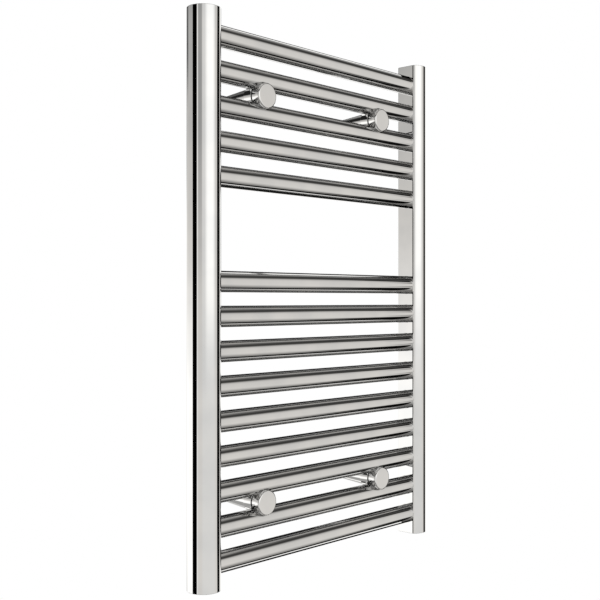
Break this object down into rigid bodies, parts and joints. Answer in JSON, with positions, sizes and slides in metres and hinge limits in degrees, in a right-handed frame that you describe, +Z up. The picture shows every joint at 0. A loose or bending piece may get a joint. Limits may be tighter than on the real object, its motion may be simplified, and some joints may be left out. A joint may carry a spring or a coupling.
{
  "type": "towel radiator",
  "caption": "Wall-hung ladder towel radiator with round rails between two D-section collectors, clamp brackets, an air bleed valve and threaded supply ports.",
  "frame": {"origin": "in the wall's plane, midway between the four wall fixing holes", "axes": "+Z up, +Y into the wall, +X to the right for someone facing the radiator"},
  "size_m": [0.4, 0.1027, 0.6],
  "materials": {
    "chrome": "polished chrome plating, mirror bright",
    "zinc_steel": "zinc-plated threaded steel",
    "nickel_brass": "nickel-plated machined brass",
    "seal": "matt black sealing ring"
  },
  "bodies": {
    "wall_sockets": {"wall_socket_upper_left": "chrome", "wall_socket_upper_right": "chrome", "wall_socket_lower_left": "chrome", "wall_socket_lower_right": "chrome"},
    "radiator": {"collector_left": "chrome", "collector_right": "chrome", "end_plate_left": "chrome", "end_plate_right": "chrome", "port_plate_left": "chrome", "port_plate_right": "chrome", "vent_socket": "chrome", "vent_plug": "nickel_brass", "vent_seal": "seal", "rail_01": "chrome", "rail_02": "chrome", "rail_03": "chrome", "rail_04": "chrome", "rail_05": "chrome", "rail_06": "chrome", "rail_07": "chrome", "rail_08": "chrome", "rail_09": "chrome", "rail_10": "chrome", "rail_11": "chrome", "rail_12": "chrome", "rail_13": "chrome", "rail_14": "chrome", "stem_upper_left": "chrome", "rear_saddle_upper_left": "chrome", "front_saddle_upper_left": "chrome", "stem_upper_right": "chrome", "rear_saddle_upper_right": "chrome", "front_saddle_upper_right": "chrome", "stem_lower_left": "chrome", "rear_saddle_lower_left": "chrome", "front_saddle_lower_left": "chrome", "stem_lower_right": "chrome", "rear_saddle_lower_right": "chrome", "front_saddle_lower_right": "chrome"},
    "bleed_valve": {"bleed_screw": "nickel_brass"},
    "clamp_upper_left": {"disc_upper_left": "chrome", "clamp_bolt_upper_left": "zinc_steel"},
    "clamp_upper_right": {"disc_upper_right": "chrome", "clamp_bolt_upper_right": "zinc_steel"},
    "clamp_lower_left": {"disc_lower_left": "chrome", "clamp_bolt_lower_left": "zinc_steel"},
    "clamp_lower_right": {"disc_lower_right": "chrome", "clamp_bolt_lower_right": "zinc_steel"},
    "lock_upper_left": {"grub_screw_upper_left": "zinc_steel"},
    "lock_upper_right": {"grub_screw_upper_right": "zinc_steel"},
    "lock_lower_left": {"grub_screw_lower_left": "zinc_steel"},
    "lock_lower_right": {"grub_screw_lower_right": "zinc_steel"}
  },
  "joints": [
    {"name": "radiator_slide", "type": "slide", "parent": "wall_sockets", "child": "radiator", "axis": [0, -1, 0], "range_m": [-0.005, 0.008]},
    {"name": "bleed_turn", "type": "hinge", "parent": "radiator", "child": "bleed_valve", "pos_m": [0.18225, -0.058, 0.286], "axis": [0, 1, 0], "range_deg": [0, 360]},
    {"name": "clamp_turn_upper_left", "type": "hinge", "parent": "radiator", "child": "clamp_upper_left", "pos_m": [-0.1015, -0.085, 0.2202], "axis": [0, -1, 0], "range_deg": [0, 360]},
    {"name": "clamp_turn_upper_right", "type": "hinge", "parent": "radiator", "child": "clamp_upper_right", "pos_m": [0.1015, -0.085, 0.2202], "axis": [0, -1, 0], "range_deg": [0, 360]},
    {"name": "clamp_turn_lower_left", "type": "hinge", "parent": "radiator", "child": "clamp_lower_left", "pos_m": [-0.1015, -0.085, -0.2202], "axis": [0, -1, 0], "range_deg": [0, 360]},
    {"name": "clamp_turn_lower_right", "type": "hinge", "parent": "radiator", "child": "clamp_lower_right", "pos_m": [0.1015, -0.085, -0.2202], "axis": [0, -1, 0], "range_deg": [0, 360]},
    {"name": "lock_turn_upper_left", "type": "hinge", "parent": "wall_sockets", "child": "lock_upper_left", "pos_m": [-0.1015, -0.017, 0.2202], "axis": [0, 0, -1], "range_deg": [0, 360]},
    {"name": "lock_turn_upper_right", "type": "hinge", "parent": "wall_sockets", "child": "lock_upper_right", "pos_m": [0.1015, -0.017, 0.2202], "axis": [0, 0, -1], "range_deg": [0, 360]},
    {"name": "lock_turn_lower_left", "type": "hinge", "parent": "wall_sockets", "child": "lock_lower_left", "pos_m": [-0.1015, -0.017, -0.2202], "axis": [0, 0, -1], "range_deg": [0, 360]},
    {"name": "lock_turn_lower_right", "type": "hinge", "parent": "wall_sockets", "child": "lock_lower_right", "pos_m": [0.1015, -0.017, -0.2202], "axis": [0, 0, -1], "range_deg": [0, 360]}
  ]
}
